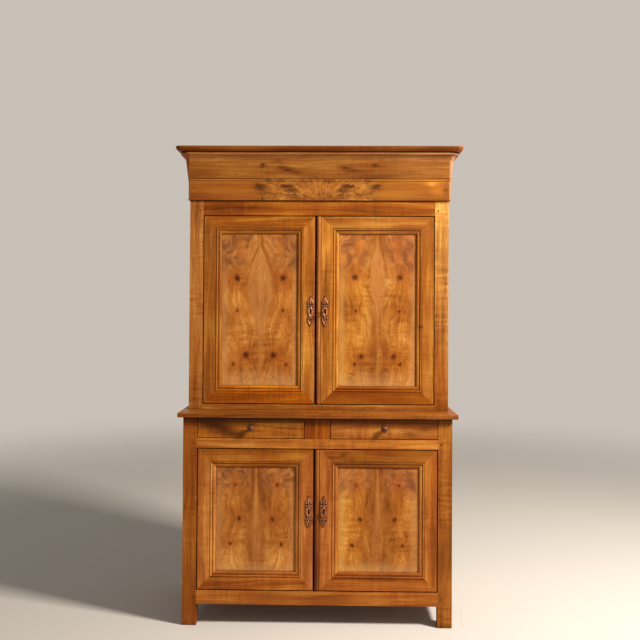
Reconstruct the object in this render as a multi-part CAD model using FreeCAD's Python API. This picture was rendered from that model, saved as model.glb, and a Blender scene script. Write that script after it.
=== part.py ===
"""Two-part buffet cupboard in fruitwood: a panelled upper case with two doors under a coved cornice,
standing on a deeper lower case with two drawers and two doors.
Millimetres. X runs to the viewer's right, Y to the back, Z up. The origin is the centre of the footprint."""

import FreeCAD, Part
import os
from math import pi

V = FreeCAD.Vector

# Widths and depths of the two cases
upper_width = 1260.0
upper_depth = 420.0
lower_side_step = 4.0
lower_depth = 530.0
lower_width = upper_width + 2 * lower_side_step

# Heights, from the floor to the cornice
foot_height = 100.0
lower_rail_height = 65.0
lower_opening_height = 669.0
drawer_rail_height = 45.0
drawer_opening_height = 100.0
counter_thickness = 21.0
upper_rail_height = 27.0
upper_opening_height = 920.0
top_rail_show = 72.0
frieze_height = 107.0
cove_height = 110.0
bead_height = 12.0
recess_height = 4.0
roof_thickness = 22.0

# Counter board
counter_front_overhang = 25.0
counter_side_overhang = 24.0
counter_edge_radius = 2.0

# Posts and rails
post_width = 66.0
post_depth = 50.0
rear_post = 50.0
side_rail_thickness = 24.0
side_rail_height = 90.0
muntin_width = 121.0
tenon_thickness = 10.0
tenon_length = 36.0
tenon_shoulder = 8.0
peg_diameter = 8.0
peg_inset = 15.0
peg_length = 32.0
peg_proud = 0.5

# Side panels, back boards, floors and shelves
side_panel_thickness = 10.0
side_panel_recess = 7.0
groove_depth = 8.0
back_thickness = 12.0
back_rebate = 12.0
back_board_count = 6
board_gap = 1.0
floor_thickness = 20.0
stop_lip = 8.0
shelf_thickness = 20.0
shelf_setback = 58.0
shelf_clearance = 0.3
cleat_width = 20.0
cleat_height = 24.0
upper_shelf_shares = (0.35, 0.68)
lower_shelf_shares = (0.5,)

# Frieze and cornice, measured outward from the faces of the upper case
frieze_projection = 8.0
frieze_strip_projection = 10.5
frieze_strip_height = 8.0
frieze_quirk_height = 3.0
frieze_bead_height = 9.0
frieze_bead_projection = 10.0
cove_foot_projection = 11.0
cove_lean_projection = 21.5
cove_lean_share = 0.78
cove_top_projection = 40.0
cove_bulge_share = 0.34
bead_projection = 46.0
bead_root_projection = 41.0
recess_projection = 42.0
cornice_thickness = 25.0
roof_foot_projection = 46.0
roof_projection = 65.0
roof_fillet_height = 4.0
roof_bulge_share = 0.68
roof_corner_inset = 35.0

# Doors
door_thickness = 24.0
door_gap = 5.0
stop_clearance = 0.5
flat_width = 57.0
moulding_width = 28.0
quirk_width = 2.2
quirk_depth = 2.4
ridge_width = 9.0
ridge_crown_across = 3.5
ridge_crown_proud = 0.6
ridge_drop = 4.2
bead_crown_across = 8.0
bead_crown_drop = 2.3
bead_edge_drop = 6.0
panel_recess = 9.0
panel_thickness = 9.0
panel_play = 0.5
astragal_width = 23.5
astragal_quirk_width = 3.0
astragal_quirk_depth = 2.0
astragal_proud = 5.0
meeting_gap = 8.0
meeting_shift = -3.25

# Iron pivots in the ends of the hanging stiles, out of sight when the doors are shut
pivot_radius = 3.0
pivot_play = 0.05
pivot_inset = 9.0
pivot_depth = 8.0
pivot_boss_radius = 5.5
pivot_boss_play = 0.3
pivot_plate_length = 38.0
pivot_plate_width = 12.0
pivot_plate_thickness = 3.0
socket_depth = 8.0
stile_round_play = 0.2

# Escutcheons
escutcheon_height = 150.0
escutcheon_width = 34.0
escutcheon_thickness = 2.5
left_escutcheon_inset = 20.0
right_escutcheon_inset = 19.0
upper_lock_share = 0.4935
lower_lock_share = 0.56
blind_keyhole_depth = 7.0

# Rim locks on the backs of the right doors
lock_width = 46.0
lock_height = 50.0
lock_depth = 14.0
lock_wall = 1.5
lock_key_share = 0.44
bolt_height = 12.0
bolt_thickness = 4.0
bolt_play = 0.3
bolt_throw = 16.0
bolt_nose = 24.5
bolt_lift = 5.0
key_radius = 2.5
keyhole_radius = 3.0
key_play = 0.05
bit_length = 9.0
bit_width = 3.0
bit_depth = 4.0
key_collar_radius = 4.5
key_collar_length = 3.0
key_stand_off = 4.0
bow_height = 24.0
bow_length = 21.0
bow_thickness = 5.0
bow_rim = 4.5

# Sliding latches on the backs of the left doors
latch_width = 14.0
latch_thickness = 4.0
latch_length = 110.0
latch_rise = 12.0
latch_inset = 22.0
latch_drop = 2.0
latch_knob_radius = 4.5
latch_knob_length = 9.0
staple_height = 10.0
staple_thickness = 2.0
staple_flange = 7.0
staple_shares = (0.3, 0.75)

# Drawers
drawer_gap = 3.0
drawer_front_thickness = 22.0
drawer_side_thickness = 12.0
drawer_side_drop = 8.0
drawer_rear_space = 66.0
drawer_bottom_thickness = 8.0
drawer_bottom_lift = 12.0
slide_clearance = 0.3
runner_width = 30.0
runner_thickness = 20.0
guide_width = 16.0
guide_height = 35.0
bearer_thickness = 20.0
bearer_height = 30.0
drawer_stop_width = 40.0
drawer_stop_depth = 14.0
drawer_stop_height = 8.0

# Turned knobs
knob_diameter = 29.0
knob_projection = 28.0
knob_neck_diameter = 13.0
knob_foot_diameter = 18.0
knob_foot_height = 4.0
knob_foot_shares = (1.04, 0.86)
# Radius and depth shares of the head: its root, widest ring, shoulder, dome and tip
knob_head_shares = ((0.78, 0.42), (1.0, 0.71), (0.66, 0.94), (0.42, 0.985), (0.15, 1.0))
spindle_diameter = 9.0
spindle_length = 27.0

# One overrun serves every cut
overrun = 60.0

# Levels
lower_opening_z = foot_height + lower_rail_height
drawer_rail_z = lower_opening_z + lower_opening_height
drawer_z = drawer_rail_z + drawer_rail_height
counter_z = drawer_z + drawer_opening_height
upper_z = counter_z + counter_thickness
upper_opening_z = upper_z + upper_rail_height
top_rail_z = upper_opening_z + upper_opening_height
frieze_z = top_rail_z + top_rail_show
cornice_z = frieze_z + frieze_height
bead_z = cornice_z + cove_height
recess_z = bead_z + bead_height
roof_z = recess_z + recess_height
total_height = roof_z + roof_thickness

# Front and back planes
key_reach = escutcheon_thickness + key_stand_off + key_collar_length + bow_length
front_reach = max(counter_front_overhang, knob_projection, key_reach)
back_y = (lower_depth + front_reach) / 2
lower_front = back_y - lower_depth
upper_front = back_y - upper_depth
rail_thickness = door_thickness + stop_clearance
back_board_y = back_y - back_thickness

# Door layout
member_width = flat_width + moulding_width
left_door_edge = meeting_shift - (astragal_width + meeting_gap) / 2
right_door_edge = meeting_shift + (astragal_width + meeting_gap) / 2
bolt_y = door_thickness + lock_wall + bolt_play
bit_y = bolt_y + bolt_thickness + bolt_play


class Case:
    """The sizes that the two cases share: their faces, openings and floor levels."""

    def __init__(self, name, width, front, opening_z, opening_height, lock_share):
        self.name = name
        self.front = front
        self.half = width / 2
        self.opening = self.half - post_width
        self.opening_z = opening_z
        self.opening_top = opening_z + opening_height
        self.door_z = opening_z + door_gap
        self.door_top = self.opening_top - door_gap
        self.door_height = self.door_top - self.door_z
        self.lock_z = self.door_z + self.door_height * lock_share
        self.panel_outer = self.half - side_panel_recess
        self.panel_inner = self.panel_outer - side_panel_thickness
        self.rail_inner = self.half - side_rail_thickness


upper = Case("upper", upper_width, upper_front, upper_opening_z, upper_opening_height, upper_lock_share)
lower = Case("lower", lower_width, lower_front, lower_opening_z, lower_opening_height, lower_lock_share)


# Small building blocks

def box(x0, x1, y0, y1, z0, z1):
    """A block between two opposite corners, given in any order along X."""
    low_x = min(x0, x1)
    return Part.makeBox(abs(x1 - x0), y1 - y0, z1 - z0, V(low_x, y0, z0))


def rod(radius, length, start, direction):
    return Part.makeCylinder(radius, length, start, direction)


def outline(place, start, steps):
    """A flat face from a start point and steps: a point for a line, two points for an arc."""
    edges = []
    here = place(*start)
    for step in steps:
        if len(step) == 2 and isinstance(step[0], tuple):
            middle = place(*step[0])
            there = place(*step[1])
            edges.append(Part.Arc(here, middle, there).toShape())
        else:
            there = place(*step)
            edges.append(Part.makeLine(here, there))
        here = there
    return Part.Face(Part.Wire(edges))


def plate(points, direction):
    """A flat polygon pushed along a direction."""
    corners = [V(*point) for point in points]
    return Part.Face(Part.makePolygon(corners + corners[:1])).extrude(direction)


def cut_all(shape, tools):
    for tool in tools:
        shape = shape.cut(tool)
    return shape


def mirrored(shape):
    """The same piece on the other side of the cabinet's centre plane."""
    return shape.mirror(V(0, 0, 0), V(1, 0, 0))


def both_sides(shapes):
    return list(shapes) + [mirrored(shape) for shape in shapes]


parts = {}


def keep(node, *shapes):
    """Stores the separate solids of one node."""
    solids = []
    for shape in shapes:
        solids.extend(shape.Solids)
    parts.setdefault(node, []).extend(solids)


# Joints of the front frames

def tenon_box(case, side, z0, z1):
    """The tenon of a front rail, which is also the hole in its post."""
    y0 = case.front + (rail_thickness - tenon_thickness) / 2
    inner = side * case.opening
    outer = side * (case.opening + tenon_length)
    return box(inner, outer, y0, y0 + tenon_thickness, z0 + tenon_shoulder, z1 - tenon_shoulder)


def peg(case, side, z):
    """A wooden peg driven from the front through the post and the tenon."""
    x = side * (case.opening + peg_inset)
    start = V(x, case.front - peg_proud, z)
    return rod(peg_diameter / 2, peg_length, start, V(0, 1, 0))


def front_rail(case, z0, z1, peg_levels):
    """A rail between the front posts, tenoned and pegged into both."""
    rail = box(-case.opening, case.opening, case.front, case.front + rail_thickness, z0, z1)
    for side in (-1, 1):
        rail = rail.fuse(tenon_box(case, side, z0, z1))
    pegs = [peg(case, side, level) for level in peg_levels for side in (-1, 1)]
    keep("joint_pegs", *pegs)
    return cut_all(rail, pegs + socket_cuts(case))


def rail_levels():
    """Every front rail: its case, bottom, top and peg heights."""
    lower_peg = foot_height + lower_rail_height / 2
    drawer_peg = drawer_rail_z + drawer_rail_height / 2
    top_peg = top_rail_z + peg_inset + peg_diameter
    return {
        "lower_bottom_rail": (lower, foot_height, lower_opening_z, [lower_peg]),
        "drawer_rail": (lower, drawer_rail_z, drawer_z, [drawer_peg]),
        "upper_bottom_rail": (upper, upper_z, upper_opening_z, []),
        "upper_top_rail": (upper, top_rail_z, cornice_z, [top_peg]),
    }


def front_rails():
    for node, (case, z0, z1, pegs) in rail_levels().items():
        keep(node, front_rail(case, z0, z1, pegs))


# Pivots

def pivot_axis(case, side):
    """Where a door turns: a little way in from the outer edge and from the face."""
    return side * (case.opening - door_gap - pivot_inset), case.front + pivot_depth


def pivot_ends(case):
    """The door end, the rail face and the direction outward at the bottom and the top."""
    return [(case.door_z, case.opening_z, -1), (case.door_top, case.opening_top, 1)]


def pivot_plate(case, side, level, outward, edge):
    """An iron plate let in flush with a wooden end; it starts at an edge and runs inward."""
    y = case.front + pivot_depth
    inner = edge - side * pivot_plate_length
    low, high = sorted((level, level - outward * pivot_plate_thickness))
    return box(inner, edge, y - pivot_plate_width / 2, y + pivot_plate_width / 2, low, high)


def door_pivot(case, side, level, outward):
    """The door's half: a plate, a boss that carries the door, and the pin."""
    x, y = pivot_axis(case, side)
    up = V(0, 0, outward)
    plate_piece = pivot_plate(case, side, level, outward, side * (case.opening - door_gap))
    boss = rod(pivot_boss_radius, door_gap - pivot_boss_play, V(x, y, level), up)
    pin = rod(pivot_radius, door_gap + socket_depth - pivot_boss_play, V(x, y, level), up)
    return plate_piece.fuse(boss).fuse(pin).removeSplitter()


def pivot_socket(case, side, level, outward):
    """The rail's half: a plate with the hole that the pin turns in."""
    x, y = pivot_axis(case, side)
    plate_piece = pivot_plate(case, side, level, -outward, side * case.opening)
    start = V(x, y, level - outward * overrun)
    return plate_piece.cut(rod(pivot_radius + pivot_play, 2 * overrun, start, V(0, 0, outward)))


def socket_cuts(case):
    """The recesses and blind holes for the pivots in the rails of a case."""
    cuts = []
    for side in (-1, 1):
        x, y = pivot_axis(case, side)
        for _, level, outward in pivot_ends(case):
            cuts.append(pivot_plate(case, side, level, -outward, side * case.opening))
            cuts.append(rod(pivot_radius + pivot_boss_play, socket_depth, V(x, y, level), V(0, 0, outward)))
    return cuts


def stile_cuts(case, side):
    """What comes off a hanging stile: its pivot recesses and the corner that swings inward."""
    x, y = pivot_axis(case, side)
    edge = side * (case.opening - door_gap)
    cuts = [pivot_plate(case, side, level, outward, edge) for level, _, outward in pivot_ends(case)]
    low = case.door_z - overrun
    height = case.door_height + 2 * overrun
    corner = box(x, edge + side * overrun, y, y + overrun, low, low + height)
    radius = door_thickness - pivot_depth + stile_round_play
    cuts.append(corner.cut(rod(radius, height, V(x, y, low), V(0, 0, 1))))
    return cuts


def door_pivots(case, side):
    """Both pivots of one door; their sockets stay on the rails."""
    sockets = [pivot_socket(case, side, level, outward) for _, level, outward in pivot_ends(case)]
    keep("pivot_sockets", *sockets)
    return [door_pivot(case, side, level, outward) for level, _, outward in pivot_ends(case)]


# Posts and sides

def side_panel_box(case, z0, z1):
    """A side panel with its edges in the grooves of the posts and rails."""
    y0 = case.front + post_depth - groove_depth
    y1 = back_y - rear_post + groove_depth
    return box(case.panel_inner, case.panel_outer, y0, y1, z0 - groove_depth, z1 + groove_depth)


def panel_levels(case):
    """The bottom and top of the opening between a side's rails."""
    if case is lower:
        return foot_height + side_rail_height, counter_z - side_rail_height
    return upper_z + side_rail_height, top_rail_z


def side_frame(case, bottom, top):
    """The rails and the panel on the right side of a case."""
    z0, z1 = panel_levels(case)
    y0 = case.front + post_depth
    y1 = back_y - rear_post
    panel = side_panel_box(case, z0, z1)
    low = box(case.rail_inner, case.half, y0, y1, bottom, z0).cut(panel)
    high = box(case.rail_inner, case.half, y0, y1, z1, top).cut(panel)
    keep(case.name + "_side_rails", *both_sides([low, high]))
    keep(case.name + "_side_panels", *both_sides([panel]))


def front_posts(case, bottom, top):
    """The two front posts with their mortises, peg holes and grooves."""
    z0, z1 = panel_levels(case)
    tools = [side_panel_box(case, z0, z1)]
    for rail_case, rail_z0, rail_z1, peg_levels in rail_levels().values():
        if rail_case is case:
            tools.append(tenon_box(case, 1, rail_z0, rail_z1))
            tools.extend(peg(case, 1, level) for level in peg_levels)
    blank = box(case.opening, case.half, case.front, case.front + post_depth, bottom, top)
    post = cut_all(blank, tools)
    keep(case.name + "_post_front_right", post)
    keep(case.name + "_post_front_left", mirrored(post))


def rear_posts(case, bottom, top):
    """The two rear posts, rebated for the back boards."""
    z0, z1 = panel_levels(case)
    inner = case.half - rear_post
    post = box(inner, case.half, back_y - rear_post, back_y, bottom, top)
    rebate = box(inner - overrun, inner + back_rebate, back_board_y, back_y + overrun,
                 bottom - overrun, top + overrun)
    post = post.cut(side_panel_box(case, z0, z1)).cut(rebate)
    keep("rear_posts", post, mirrored(post))


def post_blocks(case, bottom, top, play):
    """The space of the four posts, to notch floors and shelves around them."""
    inner = case.opening - play
    rear_inner = case.half - rear_post - play
    front = box(inner, case.half + overrun, case.front - overrun, case.front + post_depth + play, bottom, top)
    rear = box(rear_inner, case.half + overrun, back_y - rear_post - play, back_y + overrun, bottom, top)
    return both_sides([front, rear])


def floor_board(case):
    """The floor of a case; its front edge rises behind the doors and stops them."""
    top = case.opening_z + stop_lip
    bottom = top - floor_thickness
    board = box(-case.rail_inner, case.rail_inner, case.front + rail_thickness, back_board_y, bottom, top)
    posts = post_blocks(case, bottom - overrun, top + overrun, 0)
    keep(case.name + "_floor_board", cut_all(board, posts))


def shelf_levels(case, shares):
    return [case.opening_z + (case.opening_top - case.opening_z) * share for share in shares]


def shelves(case, node, shares):
    """Loose shelves on cleats that run between the posts."""
    half = case.panel_inner - shelf_clearance
    for top in shelf_levels(case, shares):
        z = top - shelf_thickness
        board = box(-half, half, case.front + shelf_setback, back_board_y - shelf_clearance, z, top)
        posts = post_blocks(case, z - overrun, top + overrun, shelf_clearance)
        keep(node, cut_all(board, posts))
        cleat = box(case.panel_inner - cleat_width, case.panel_inner, case.front + post_depth,
                    back_y - rear_post, z - cleat_height, z)
        keep("shelf_cleats", *both_sides([cleat]))


def back_boards(case, bottom, top):
    """Upright boards nailed into the rebates of the rear posts."""
    half = case.half - rear_post + back_rebate
    pitch = 2 * half / back_board_count
    for number in range(back_board_count):
        x0 = -half + number * pitch
        x1 = x0 + pitch - (board_gap if number < back_board_count - 1 else 0)
        keep(case.name + "_back_boards", box(x0, x1, back_board_y, back_y, bottom, top))


# Counter, frieze and cornice

def counter_top():
    half = lower.half + counter_side_overhang
    board = box(-half, half, lower_front - counter_front_overhang, back_y, counter_z, upper_z)
    edges = []
    for edge in board.Edges:
        level = edge.BoundBox.ZLength < counter_edge_radius
        if level and edge.BoundBox.YMin < back_y - counter_edge_radius:
            edges.append(edge)
    keep("counter_top", board.makeFillet(counter_edge_radius, edges))


def wrapped(profile_start, profile_steps, thickness, turn=0):
    """A moulding round the front and both sides: its front, right and left lengths.

    Its corners are rounded about an upright line that stands turn outside the case's own corner. The front
    length lies between the side lengths, which carry the rounded corners."""
    reach = roof_projection + overrun
    half = upper.half
    front = upper_front
    inner = half - thickness
    end = half + turn
    start = front - turn
    low = foot_height
    up = V(0, 0, total_height)

    def bar(place, run):
        return outline(place, profile_start, profile_steps).extrude(run)

    def wedge(*corners):
        distinct = [corner for number, corner in enumerate(corners) if corner != corners[number - 1]]
        return plate([(x, y, low) for x, y in distinct], up)

    front_bar = bar(lambda p, z: V(-half - reach, front - p, z), V(2 * (half + reach), 0, 0))
    side_bar = bar(lambda p, z: V(half + p, front - reach, z), V(0, back_y - front + reach, 0))
    front_wedge = wedge((-end, front - reach), (end, front - reach), (end, start), (inner, front + thickness),
                        (-inner, front + thickness), (-end, start))
    side_wedge = wedge((end, start), (half + reach, start), (half + reach, back_y), (inner, back_y),
                       (inner, front + thickness))
    section = outline(lambda p, z: V(end, front - p, z), profile_start, profile_steps)
    window = [V(end, front - reach, low), V(end, start, low), V(end, start, low + total_height),
              V(end, front - reach, low + total_height)]
    outside = section.common(Part.Face(Part.makePolygon(window + window[:1])))
    corner = outside.Faces[0].revolve(V(end, start, 0), V(0, 0, 1), 90)
    right = side_bar.common(side_wedge).fuse(corner).removeSplitter()
    return [front_bar.common(front_wedge), right, mirrored(right)]


def frieze():
    """A thin board round the case: a half-round bead below, a strip and a quirk along its top."""
    z0 = frieze_z
    z1 = cornice_z
    bead_top = z0 + frieze_bead_height
    strip_top = z1 - frieze_quirk_height
    strip_z = strip_top - frieze_strip_height
    root = frieze_projection - (frieze_bead_projection - frieze_projection)
    steps = [(root, z0), ((frieze_bead_projection, (z0 + bead_top) / 2), (root, bead_top)),
             (frieze_projection, bead_top), (frieze_projection, strip_z),
             (frieze_strip_projection, strip_z), (frieze_strip_projection, strip_top),
             (root, strip_top), (root, z1), (0, z1), (0, z0)]
    keep("frieze", *wrapped((0, z0), steps, 0))


def cornice_moulding():
    """The leaning cove, its bead and the shadow recess, with a plain rail across the back."""
    lean_z = cornice_z + cove_height * cove_lean_share
    middle_z = (lean_z + bead_z) / 2
    middle_p = cove_lean_projection + (cove_top_projection - cove_lean_projection) * cove_bulge_share
    bead_middle = (bead_projection, bead_z + bead_height / 2)
    steps = [(cove_foot_projection, cornice_z), (cove_lean_projection, lean_z),
             ((middle_p, middle_z), (cove_top_projection, bead_z)),
             (bead_root_projection, bead_z), (bead_middle, (bead_root_projection, recess_z)),
             (recess_projection, recess_z), (recess_projection, roof_z),
             (-cornice_thickness, roof_z), (-cornice_thickness, cornice_z)]
    lengths = wrapped((-cornice_thickness, cornice_z), steps, cornice_thickness)
    inner = upper.half - cornice_thickness
    rear = box(-inner, inner, back_y - cornice_thickness, back_y, cornice_z, roof_z)
    keep("cornice_moulding", *lengths, rear)


def cornice_roof_board():
    """The board over the cornice, with a quarter round under its overhanging edge."""
    curve_top = total_height - roof_fillet_height
    middle = (roof_foot_projection + (roof_projection - roof_foot_projection) * roof_bulge_share,
              curve_top - (curve_top - roof_z) * roof_bulge_share)
    steps = [(roof_foot_projection, roof_z), (middle, (roof_projection, curve_top)),
             (roof_projection, total_height), (-cornice_thickness, total_height),
             (-cornice_thickness, roof_z)]
    lengths = wrapped((-cornice_thickness, roof_z), steps, cornice_thickness, roof_corner_inset)
    inner = upper.half - cornice_thickness
    board = box(-inner, inner, upper_front + cornice_thickness, back_y, roof_z, total_height)
    for length in lengths:
        board = board.fuse(length)
    keep("cornice_roof_board", board.removeSplitter())


# Doors

def member_profile():
    """Half of a door member seen from its end: across from the outer edge, and back from the face.
    A quirk ends the flat; a ridge falls from it into a dip, and a flat bead runs on to the panel."""
    ridge_x = flat_width + quirk_width
    dip_x = ridge_x + ridge_width
    groove_bottom = member_width - groove_depth
    groove_back = panel_recess + panel_thickness
    ridge_crown = (ridge_x + ridge_crown_across, -ridge_crown_proud)
    bead_crown = (dip_x + bead_crown_across, bead_crown_drop)
    return [(flat_width, 0), (flat_width, quirk_depth), (ridge_x, quirk_depth), (ridge_x, 0),
            (ridge_crown, (dip_x, ridge_drop)), (bead_crown, (member_width, bead_edge_drop)),
            (member_width, panel_recess), (groove_bottom, panel_recess),
            (groove_bottom, groove_back), (member_width, groove_back),
            (member_width, door_thickness), (0, door_thickness), (0, 0)]


def door_members(case, x0, x1):
    """Two stiles and two rails, moulded on their inner edges and mitred at the corners."""
    z0 = case.door_z
    z1 = case.door_top
    front = case.front
    profile = member_profile()
    width = x1 - x0
    height = z1 - z0
    w = member_width
    places = [
        (lambda u, d: V(x0 + u, front + d, z0), V(0, 0, height),
         [(x0, z0), (x0 + w, z0 + w), (x0 + w, z1 - w), (x0, z1)]),
        (lambda u, d: V(x1 - u, front + d, z0), V(0, 0, height),
         [(x1, z0), (x1 - w, z0 + w), (x1 - w, z1 - w), (x1, z1)]),
        (lambda u, d: V(x0, front + d, z0 + u), V(width, 0, 0),
         [(x0, z0), (x1, z0), (x1 - w, z0 + w), (x0 + w, z0 + w)]),
        (lambda u, d: V(x0, front + d, z1 - u), V(width, 0, 0),
         [(x0, z1), (x1, z1), (x1 - w, z1 - w), (x0 + w, z1 - w)]),
    ]
    members = []
    for place, run, corners in places:
        bar = outline(place, (0, 0), profile).extrude(run)
        wedge = plate([(x, front - overrun, z) for x, z in corners], V(0, 3 * overrun, 0))
        members.append(bar.common(wedge))
    return members


def door_panel(case, x0, x1):
    inset = member_width - groove_depth + panel_play
    y0 = case.front + panel_recess
    return box(x0 + inset, x1 - inset, y0, y0 + panel_thickness, case.door_z + inset, case.door_top - inset)


def keyhole(case, x, depth, radius):
    """A keyhole from in front of the escutcheon to a depth behind the face."""
    y0 = case.front - escutcheon_thickness - overrun
    length = depth + escutcheon_thickness + overrun
    hole = rod(radius, length, V(x, y0, case.lock_z), V(0, 1, 0))
    half = bit_width / 2 + key_play
    bottom = case.lock_z - key_radius - bit_length - key_play
    slot = box(x - half, x + half, y0, y0 + length, bottom, case.lock_z)
    return hole.fuse(slot)


def escutcheon(case, x, depth):
    """A scrolled plate with pointed ends, two pairs of lobes and an oval middle."""
    half_z = escutcheon_height / 2
    half_x = escutcheon_width / 2
    # Shares of the half width and half height: the tip, upper leaf and lobe, oval, lower lobe and tail
    shares = [((0.52, 0.74), (0.86, 0.6)), ((0.98, 0.47), (0.34, 0.42)),
              ((0.8, 0.3), (0.9, 0.02)), ((0.82, -0.26), (0.34, -0.42)),
              ((0.98, -0.5), (0.8, -0.62)), ((0.42, -0.8), (0.0, -1.0))]
    right = [tuple((sx * half_x, sz * half_z) for sx, sz in pair) for pair in shares]
    left = []
    ends = [(0.0, half_z)] + [pair[1] for pair in right]
    for number in reversed(range(len(right))):
        middle = right[number][0]
        end = ends[number]
        left.append(((-middle[0], middle[1]), (-end[0], end[1])))
    place = lambda u, w: V(x + u, case.front - escutcheon_thickness, case.lock_z + w)
    face = outline(place, (0.0, half_z), right + left)
    return face.extrude(V(0, escutcheon_thickness, 0)).cut(keyhole(case, x, depth, keyhole_radius))


def staple(case, x, z):
    """A bent strap that holds the latch against the door."""
    back = case.front + door_thickness
    inner = latch_width / 2 + bolt_play
    depth = stop_clearance + latch_thickness + 2 * bolt_play
    outer = inner + staple_flange
    strap = box(x - outer, x + outer, back, back + depth + staple_thickness, z, z + staple_height)
    channel = box(x - inner, x + inner, back - overrun, back + depth, z - overrun, z + staple_height + overrun)
    steps = []
    for side in (-1, 1):
        edge = side * (inner + staple_thickness)
        steps.append(box(x + edge, x + side * (outer + overrun), back + staple_thickness,
                         back + overrun, z - overrun, z + staple_height + overrun))
    return cut_all(strap, [channel] + steps)


def latch(case, x):
    """A flat iron bolt that slides up behind the rail over the left door."""
    y0 = case.front + rail_thickness + bolt_play
    top = case.door_top - latch_drop
    bottom = top - latch_length
    bar = box(x - latch_width / 2, x + latch_width / 2, y0, y0 + latch_thickness, bottom, top)
    low, high = staple_shares
    level = bottom + latch_length * (low + high) / 2
    knob = rod(latch_knob_radius, latch_knob_length, V(x, y0 + latch_thickness, level), V(0, 1, 0))
    staples = [staple(case, x, bottom + latch_length * share - staple_height / 2) for share in staple_shares]
    return bar.fuse(knob), staples


def left_door(case):
    x0 = door_gap - case.opening
    x1 = left_door_edge
    hole = keyhole(case, x1 - left_escutcheon_inset, blind_keyhole_depth, keyhole_radius)
    tools = stile_cuts(case, -1) + [hole]
    prefix = case.name + "_left_"
    keep(prefix + "door_frame", *[cut_all(member, tools) for member in door_members(case, x0, x1)])
    keep(prefix + "door_panel", door_panel(case, x0, x1))
    bar, staples = latch(case, x1 - latch_inset)
    keep(prefix + "door_ironwork", *door_pivots(case, -1), *staples)
    keep(prefix + "escutcheon", escutcheon(case, x1 - left_escutcheon_inset, blind_keyhole_depth))
    keep(prefix + "door_latch", bar)


def astragal(case):
    """The strip on the right door's meeting edge: a flattened half-round and the quirk beside it."""
    x0 = left_door_edge + meeting_gap
    x1 = right_door_edge
    face = case.front
    floor = face + astragal_quirk_depth
    back = face + door_thickness
    round_x1 = x1 - astragal_quirk_width
    crown = ((x0 + round_x1) / 2, face - astragal_proud)
    steps = [(crown, (round_x1, face)), (round_x1, floor), (x1, floor), (x1, back), (x0, back), (x0, face)]
    place = lambda x, y: V(x, y, case.door_z)
    return outline(place, (x0, face), steps).extrude(V(0, 0, case.door_height))


def lock_case(case, key_x):
    """The iron lock box with the hole for its bolt and the hole for the key."""
    x0 = right_door_edge
    y0 = case.front + door_thickness
    z0 = case.lock_z - lock_height * lock_key_share
    shell = box(x0, x0 + lock_width, y0, y0 + lock_depth, z0, z0 + lock_height)
    hollow = box(x0 + lock_wall, x0 + lock_width - lock_wall, y0 + lock_wall, y0 + lock_depth - lock_wall,
                 z0 + lock_wall, z0 + lock_height - lock_wall)
    exit_hole = box(x0 - overrun, x0 + 2 * lock_wall, case.front + bolt_y - bolt_play,
                    case.front + bolt_y + bolt_thickness + bolt_play,
                    case.lock_z + bolt_lift - bolt_play, case.lock_z + bolt_lift + bolt_height + bolt_play)
    hole = keyhole(case, key_x, door_thickness + 2 * lock_wall, key_radius + key_play)
    return cut_all(shell, [hollow, exit_hole, hole])


def lock_bolt(case):
    x0 = right_door_edge - bolt_nose
    x1 = right_door_edge + lock_width - lock_wall - bolt_play
    y0 = case.front + bolt_y
    z0 = case.lock_z + bolt_lift
    return box(x0, x1, y0, y0 + bolt_thickness, z0, z0 + bolt_height)


def key(case, x):
    """A small iron key: oval bow, collar, round shank and a bit inside the lock."""
    z = case.lock_z
    face = case.front - escutcheon_thickness
    bow_end = face - key_stand_off - key_collar_length
    tip = case.front + bit_y + bit_depth
    shank = rod(key_radius, tip - bow_end + key_collar_length, V(x, bow_end - key_collar_length, z), V(0, 1, 0))
    collar = rod(key_collar_radius, key_collar_length, V(x, bow_end, z), V(0, 1, 0))
    bit = box(x - bit_width / 2, x + bit_width / 2, tip - bit_depth, tip, z - key_radius - bit_length, z)
    centre = V(x - bow_thickness / 2, bow_end - bow_length / 2, z)
    ring = Part.Face(Part.Wire(oval(centre, bow_height / 2, bow_length / 2)))
    hole = Part.Face(Part.Wire(oval(centre, bow_height / 2 - bow_rim, bow_length / 2 - bow_rim)))
    bow = ring.cut(hole).extrude(V(bow_thickness, 0, 0))
    window = hole.extrude(V(bow_thickness, 0, 0))
    return shank.cut(window).fuse(collar).fuse(bit).fuse(bow).removeSplitter()


def oval(centre, half_z, half_y):
    """An ellipse in an upright plane that runs from front to back."""
    curve = Part.Ellipse(V(centre.x, centre.y, centre.z + half_z), V(centre.x, centre.y + half_y, centre.z), centre)
    return curve.toShape()


def right_door(case):
    x0 = right_door_edge
    x1 = case.opening - door_gap
    key_x = x0 + right_escutcheon_inset
    tools = stile_cuts(case, 1)
    tools.append(keyhole(case, key_x, door_thickness + overrun, keyhole_radius))
    prefix = case.name + "_right_"
    keep(prefix + "door_frame", *[cut_all(member, tools) for member in door_members(case, x0, x1)])
    keep(prefix + "door_panel", door_panel(case, x0, x1))
    keep(prefix + "door_astragal", astragal(case))
    keep(prefix + "door_pivots", *door_pivots(case, 1))
    keep(prefix + "escutcheon", escutcheon(case, key_x, door_thickness))
    keep(prefix + "lock_case", lock_case(case, key_x))
    keep(prefix + "lock_bolt", lock_bolt(case))
    keep(prefix + "key", key(case, key_x))


# Drawers

drawer_x0 = muntin_width / 2 + drawer_gap
drawer_x1 = lower.opening - drawer_gap
drawer_front_z = drawer_z + drawer_gap
drawer_front_top = counter_z - drawer_gap
drawer_centre_x = (drawer_x0 + drawer_x1) / 2
drawer_centre_z = (drawer_front_z + drawer_front_top) / 2
drawer_box_y = lower_front + drawer_front_thickness
drawer_length = back_board_y - drawer_rear_space - drawer_box_y


def spindle():
    start = V(drawer_centre_x, lower_front, drawer_centre_z)
    return rod(spindle_diameter / 2, spindle_length, start, V(0, 1, 0))


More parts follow.
